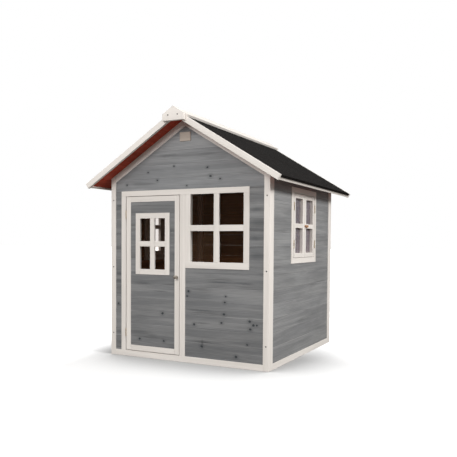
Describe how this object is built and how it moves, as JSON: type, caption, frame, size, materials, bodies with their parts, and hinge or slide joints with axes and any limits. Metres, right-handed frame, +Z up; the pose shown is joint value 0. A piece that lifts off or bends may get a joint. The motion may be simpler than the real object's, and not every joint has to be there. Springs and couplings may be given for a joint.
{
  "type": "child's wooden playhouse",
  "caption": "Small gabled garden playhouse with boarded walls, a hinged front door, a fixed front window, opening side windows and a felted roof.",
  "frame": {"origin": "on the ground at the middle of the house's footprint", "axes": "+Z up, -Y out of the front wall with the door, +X to the right as seen from the front"},
  "size_m": [1.3164, 1.414, 1.5042],
  "materials": {
    "white_laths": "off-white stain, matt, faint grain",
    "grey_boards": "mid-grey translucent stain, matt, grain and knots show",
    "red_brown_boards": "red-brown stain, matt",
    "bare_wood": "pale orange-brown, matt",
    "roofing_felt": "black bitumen felt with fine mineral grit",
    "clear_pane": "clear sheet",
    "steel": "satin"
  },
  "bodies": {
    "root": {"corner_posts": "white_laths", "side_wall_stiles": "white_laths", "front_bottom_rail": "white_laths", "back_bottom_rail": "white_laths", "side_bottom_rails": "white_laths", "side_top_rails": "white_laths", "gable_rails": "white_laths", "front_wall_boards": "grey_boards", "front_gable_boards": "grey_boards", "back_wall_boards": "grey_boards", "right_wall_boards": "grey_boards", "left_wall_boards": "grey_boards", "front_casing_head": "white_laths", "door_hinge_jamb": "white_laths", "front_mullion": "white_laths", "front_window_frame": "white_laths", "front_window_bars": "white_laths", "front_window_pane": "clear_pane", "door_stops": "white_laths", "right_roof_boards": "red_brown_boards", "left_roof_boards": "red_brown_boards", "right_roof_felt": "roofing_felt", "left_roof_felt": "roofing_felt", "front_bargeboards": "white_laths", "back_bargeboards": "white_laths", "ridge_plates": "white_laths", "right_ridge_cap": "white_laths", "left_ridge_cap": "white_laths", "eave_boards": "white_laths", "roof_battens": "bare_wood", "gable_plaque": "bare_wood", "frame_screws": "steel", "right_window_casing": "white_laths", "left_window_casing": "white_laths", "window_stops": "white_laths", "door_hinge_plates": "steel", "window_hinge_plates": "steel", "hinge_pins": "steel"},
    "door": {"door_frame": "white_laths", "door_boards": "grey_boards", "door_window_frame": "white_laths", "door_window_bars": "white_laths", "door_window_pane": "clear_pane", "door_knob": "steel", "door_hinge_leaves": "steel"},
    "right_front_window": {"right_front_sash": "white_laths", "right_front_pane": "clear_pane", "right_front_hardware": "steel"},
    "right_back_window": {"right_back_sash": "white_laths", "right_back_pane": "clear_pane", "right_back_hardware": "steel"},
    "left_front_window": {"left_front_sash": "white_laths", "left_front_pane": "clear_pane", "left_front_hardware": "steel"},
    "left_back_window": {"left_back_sash": "white_laths", "left_back_pane": "clear_pane", "left_back_hardware": "steel"},
    "right_button": {"right_turn_button": "bare_wood"},
    "left_button": {"left_turn_button": "bare_wood"}
  },
  "joints": [
    {"name": "door_hinge", "type": "hinge", "parent": "root", "child": "door", "pos_m": [-0.433, -0.5682, 0.522], "axis": [0, 0, -1], "range_deg": [0, 160]},
    {"name": "right_front_window_hinge", "type": "hinge", "parent": "root", "child": "right_front_window", "pos_m": [0.5532, -0.192, 0.83], "axis": [0, 0, -1], "range_deg": [0, 160]},
    {"name": "right_back_window_hinge", "type": "hinge", "parent": "root", "child": "right_back_window", "pos_m": [0.5532, 0.192, 0.83], "axis": [0, 0, 1], "range_deg": [0, 160]},
    {"name": "left_front_window_hinge", "type": "hinge", "parent": "root", "child": "left_front_window", "pos_m": [-0.5532, -0.192, 0.83], "axis": [0, 0, 1], "range_deg": [0, 160]},
    {"name": "left_back_window_hinge", "type": "hinge", "parent": "root", "child": "left_back_window", "pos_m": [-0.5532, 0.192, 0.83], "axis": [0, 0, -1], "range_deg": [0, 160]},
    {"name": "right_button_pivot", "type": "hinge", "parent": "right_back_window", "child": "right_button", "pos_m": [0.5506, 0.012, 0.83], "axis": [1, 0, 0], "range_deg": [0, 180]},
    {"name": "left_button_pivot", "type": "hinge", "parent": "left_back_window", "child": "left_button", "pos_m": [-0.5506, 0.012, 0.83], "axis": [1, 0, 0], "range_deg": [0, 180]}
  ]
}
